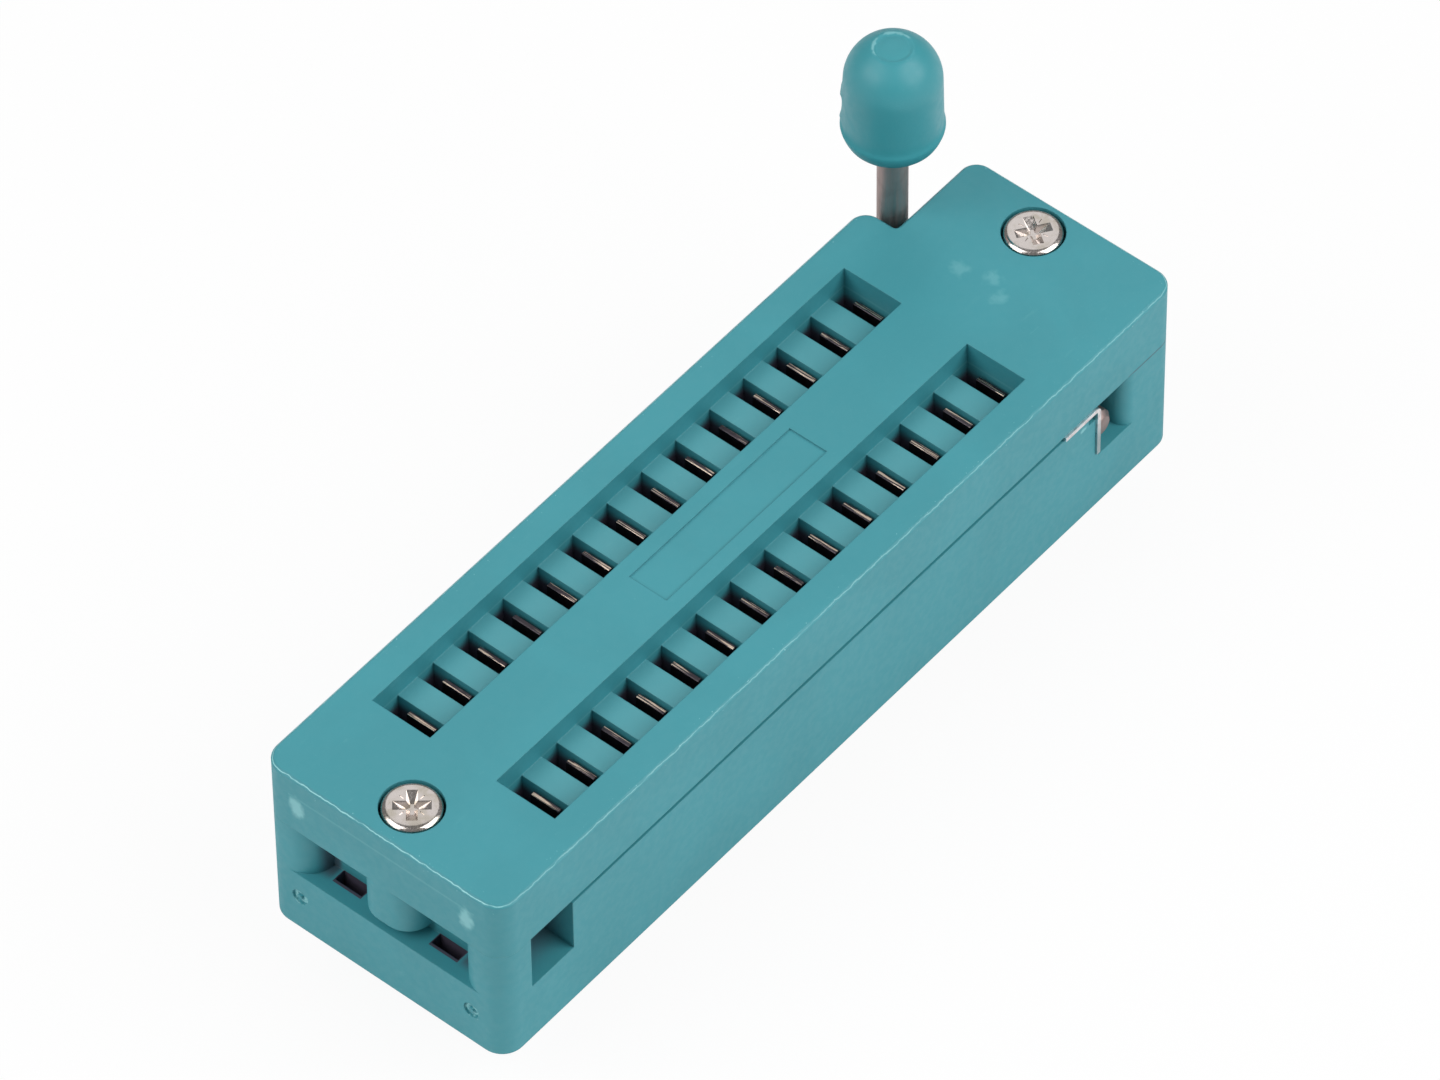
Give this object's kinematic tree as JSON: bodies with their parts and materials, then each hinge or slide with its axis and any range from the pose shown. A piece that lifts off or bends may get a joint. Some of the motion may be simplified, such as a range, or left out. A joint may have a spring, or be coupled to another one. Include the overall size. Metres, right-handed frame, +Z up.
{
  "type": "ic test socket",
  "caption": "Lever-operated zero insertion force test socket for narrow dual in-line chips, with two rows of spring contacts, a sliding comb and a cranked lever with a knob.",
  "frame": {"origin": "centre of the two rows of contact slots, on the plane of the circuit board that the base stands on", "axes": "+X along the rows towards the lever's end, +Y across them towards the lever's arm, +Z up out of the chip's seat"},
  "size_m": [0.0503, 0.0164, 0.0258],
  "materials": {
    "housing_plastic": "moulded green thermoplastic, fine satin",
    "comb_plastic": "moulded green thermoplastic, satin",
    "knob_plastic": "moulded green thermoplastic, satin",
    "strip_steel": "bright cut edge of thin sheet",
    "lever_steel": "dull drawn wire",
    "screw_steel": "bright zinc plate",
    "contact_metal": "tin-plated copper alloy strip"
  },
  "bodies": {
    "housing": {"base": "housing_plastic", "cover": "housing_plastic", "cam_strip": "strip_steel", "cover_screw_near": "screw_steel", "cover_screw_far": "screw_steel", "contact_01": "contact_metal", "contact_02": "contact_metal", "contact_03": "contact_metal", "contact_04": "contact_metal", "contact_05": "contact_metal", "contact_06": "contact_metal", "contact_07": "contact_metal", "contact_08": "contact_metal", "contact_09": "contact_metal", "contact_10": "contact_metal", "contact_11": "contact_metal", "contact_12": "contact_metal", "contact_13": "contact_metal", "contact_14": "contact_metal", "contact_15": "contact_metal", "contact_16": "contact_metal", "contact_17": "contact_metal", "contact_18": "contact_metal", "contact_19": "contact_metal", "contact_20": "contact_metal", "contact_21": "contact_metal", "contact_22": "contact_metal", "contact_23": "contact_metal", "contact_24": "contact_metal", "contact_25": "contact_metal", "contact_26": "contact_metal", "contact_27": "contact_metal", "contact_28": "contact_metal"},
    "lever": {"lever_rod": "lever_steel", "lever_knob": "knob_plastic"},
    "comb": {"shuttle": "comb_plastic"}
  },
  "joints": [
    {"name": "lever_swing", "type": "hinge", "parent": "housing", "child": "lever", "pos_m": [0.02161, 0, 0.0045], "axis": [0, 1, 0], "range_deg": [0, 90]},
    {"name": "comb_slide", "type": "slide", "parent": "housing", "child": "comb", "axis": [-1, 0, 0], "range_m": [0, 0.000351], "deforming": ["contact_01", "contact_02", "contact_03", "contact_04", "contact_05", "contact_06", "contact_07", "contact_08", "contact_09", "contact_10", "contact_11", "contact_12", "contact_13", "contact_14", "contact_15", "contact_16", "contact_17", "contact_18", "contact_19", "contact_20", "contact_21", "contact_22", "contact_23", "contact_24", "contact_25", "contact_26", "contact_27", "contact_28"]}
  ],
  "couplings": [
    {"joint": "comb_slide", "follows": "lever_swing", "m_per_rad": 0.00022282}
  ]
}
